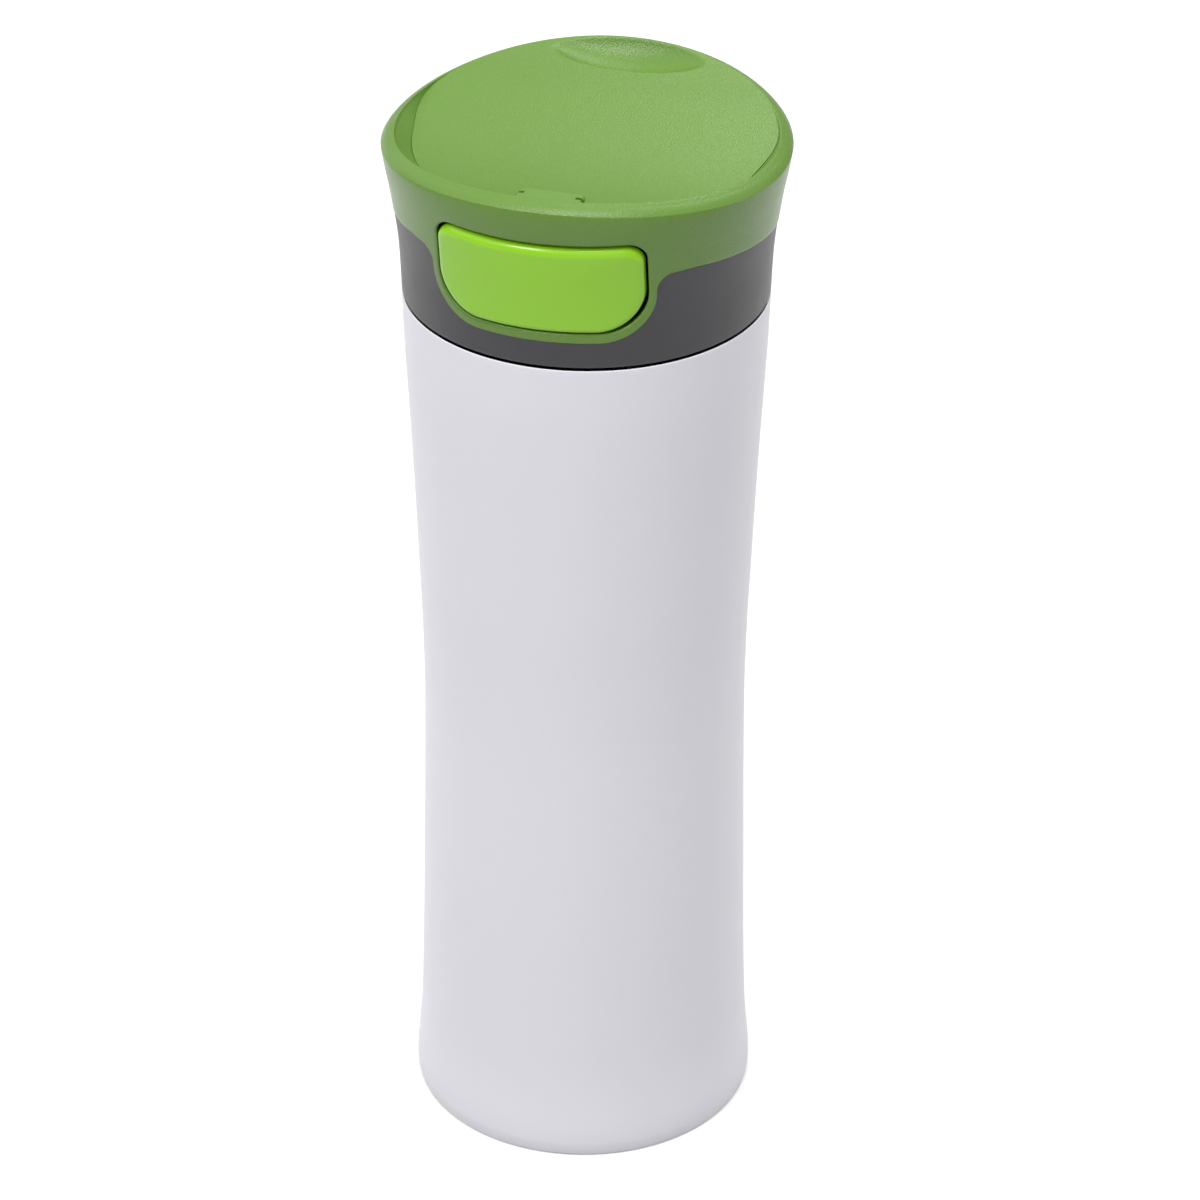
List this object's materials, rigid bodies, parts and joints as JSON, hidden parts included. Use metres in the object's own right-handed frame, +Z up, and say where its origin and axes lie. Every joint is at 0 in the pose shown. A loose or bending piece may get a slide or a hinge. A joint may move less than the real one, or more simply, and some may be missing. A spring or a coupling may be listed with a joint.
{
  "type": "insulated travel mug",
  "caption": "Vacuum-insulated steel travel mug with a screw-on plastic lid, a push button at the front that opens a spring-return drink valve, and a scooped top with a drinking recess.",
  "frame": {"origin": "centre of the circle the mug stands on", "axes": "+Z up along the mug's axis, the button faces -Y, the drinking side is +Y"},
  "size_m": [0.0826, 0.083, 0.2322],
  "materials": {
    "coat": "smooth matte powder coat, cool white",
    "steel": "satin stainless steel",
    "getter": "sintered pellet",
    "rubber": "matte rubber",
    "green": "fine satin grain, leaf green",
    "gray": "fine satin grain, dark gray",
    "lime": "soft gloss, lime",
    "dark": "satin moulded plastic",
    "silicone": "translucent gray silicone",
    "pin_steel": "drawn steel wire"
  },
  "bodies": {
    "mug_body": {"outer_shell": "coat", "inner_liner": "steel", "vacuum_base": "steel", "vacuum_seal": "steel", "getter": "getter", "base_cap": "coat", "foot_ring": "rubber"},
    "gasket": {"lid_gasket": "silicone"},
    "lid": {"lid_shell": "green", "lid_collar": "gray", "top_cover": "green", "spout_seal": "silicone", "valve_housing": "dark", "rod_seal": "silicone", "lever_pin": "pin_steel", "button_spring": "pin_steel"},
    "button": {"button_cap": "lime", "trigger_rod": "dark"},
    "lever": {"valve_lever": "dark", "follower_pin": "pin_steel", "drink_stopper": "silicone", "vent_stopper": "silicone"}
  },
  "joints": [
    {"name": "lid_lift", "type": "slide", "parent": "mug_body", "child": "gasket", "axis": [0, 0, 1], "range_m": [0, 0.0406]},
    {"name": "lid_turn", "type": "hinge", "parent": "gasket", "child": "lid", "pos_m": [0, 0, 0.2], "axis": [0, 0, 1], "range_deg": [0, 1620]},
    {"name": "button_press", "type": "slide", "parent": "lid", "child": "button", "axis": [0, 1, 0], "range_m": [0, 0.0045], "stiffness_N_per_m": 900, "springref_m": -0.004, "deforming": ["button_spring"]},
    {"name": "lever_swing", "type": "hinge", "parent": "lid", "child": "lever", "pos_m": [0, -0.012, 0.2055], "axis": [-1, 0, 0], "range_deg": [0, 11.6]}
  ],
  "couplings": [
    {"joint": "lid_lift", "follows": "lid_turn", "m_per_rad": 0.0014324},
    {"joint": "lever_swing", "follows": "button_press", "rad_per_m": 44.603}
  ]
}
